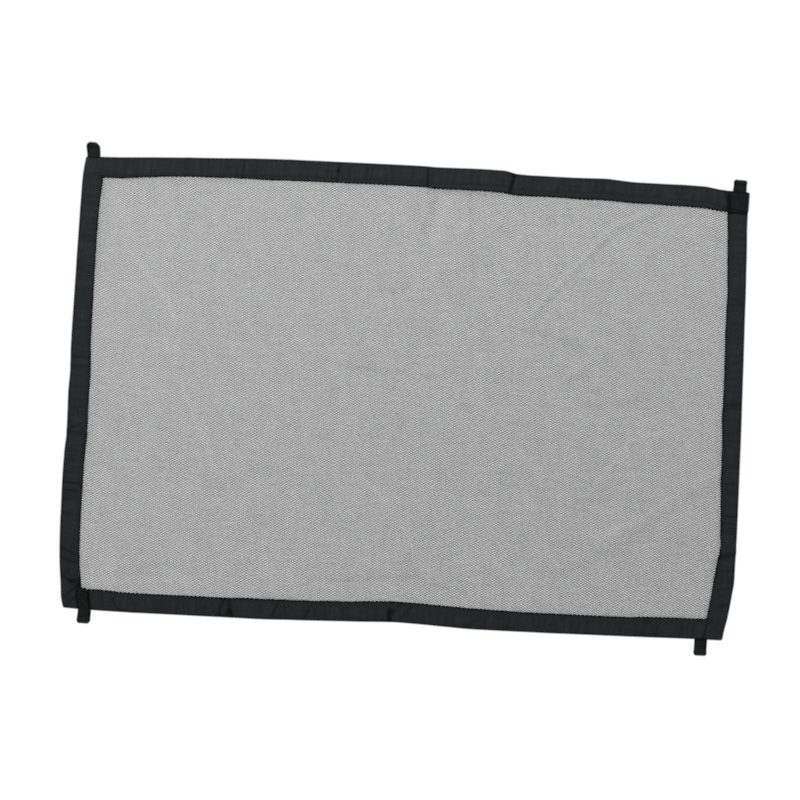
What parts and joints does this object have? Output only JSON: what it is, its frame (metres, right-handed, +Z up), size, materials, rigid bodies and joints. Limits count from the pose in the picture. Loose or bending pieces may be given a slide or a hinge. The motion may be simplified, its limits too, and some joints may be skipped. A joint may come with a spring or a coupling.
{
  "type": "mesh wind screen",
  "caption": "Soft rectangular mesh wind screen, bound on its edges with folded tape, with short webbing loops at the corners to tie or hook it up.",
  "frame": {"origin": "middle of the panel, halfway through the thickness of the net", "axes": "+X along the long side towards the viewer's right, +Y towards the back, +Z up along the short side as the screen hangs; the front faces -Y"},
  "size_m": [1.06, 0.0128, 0.77],
  "materials": {
    "net": "matte",
    "binding_tape": "matte",
    "webbing": "matte",
    "thread": "satin"
  },
  "bodies": {
    "left_half": {"net_left": "net", "top_binding_left": "binding_tape", "bottom_binding_left": "binding_tape", "left_binding": "binding_tape", "top_seam_left": "thread", "bottom_seam_left": "thread", "left_seam": "thread", "corner_seam_top_left": "thread", "loop_top_left_legs": "webbing", "loop_top_left_stitching": "thread", "corner_seam_bottom_left": "thread", "loop_bottom_left_legs": "webbing", "loop_bottom_left_stitching": "thread"},
    "right_half": {"net_right": "net", "top_binding_right": "binding_tape", "bottom_binding_right": "binding_tape", "right_binding": "binding_tape", "top_seam_right": "thread", "bottom_seam_right": "thread", "right_seam": "thread", "corner_seam_top_right": "thread", "loop_top_right_legs": "webbing", "loop_top_right_stitching": "thread", "corner_seam_bottom_right": "thread", "loop_bottom_right_legs": "webbing", "loop_bottom_right_stitching": "thread"},
    "loop_top_left": {"loop_top_left": "webbing"},
    "loop_top_right": {"loop_top_right": "webbing"},
    "loop_bottom_left": {"loop_bottom_left": "webbing"},
    "loop_bottom_right": {"loop_bottom_right": "webbing"}
  },
  "joints": [
    {"name": "centre_fold", "type": "hinge", "parent": "left_half", "child": "right_half", "pos_m": [0, -0.0025, 0], "axis": [0, 0, -1], "range_deg": [0, 175]},
    {"name": "loop_top_left_bend", "type": "hinge", "parent": "left_half", "child": "loop_top_left", "pos_m": [-0.5185, 0.0024, 0.3613], "axis": [-1, 0, 0], "range_deg": [-90, 90], "stiffness_Nm_per_rad": 0.005},
    {"name": "loop_top_right_bend", "type": "hinge", "parent": "right_half", "child": "loop_top_right", "pos_m": [0.5145, 0.0024, 0.3613], "axis": [-1, 0, 0], "range_deg": [-90, 90], "stiffness_Nm_per_rad": 0.005},
    {"name": "loop_bottom_left_bend", "type": "hinge", "parent": "left_half", "child": "loop_bottom_left", "pos_m": [-0.495, -0.0024, -0.3613], "axis": [1, 0, 0], "range_deg": [-90, 90], "stiffness_Nm_per_rad": 0.005},
    {"name": "loop_bottom_right_bend", "type": "hinge", "parent": "right_half", "child": "loop_bottom_right", "pos_m": [0.495, 0.0024, -0.3613], "axis": [1, 0, 0], "range_deg": [-90, 90], "stiffness_Nm_per_rad": 0.005}
  ]
}
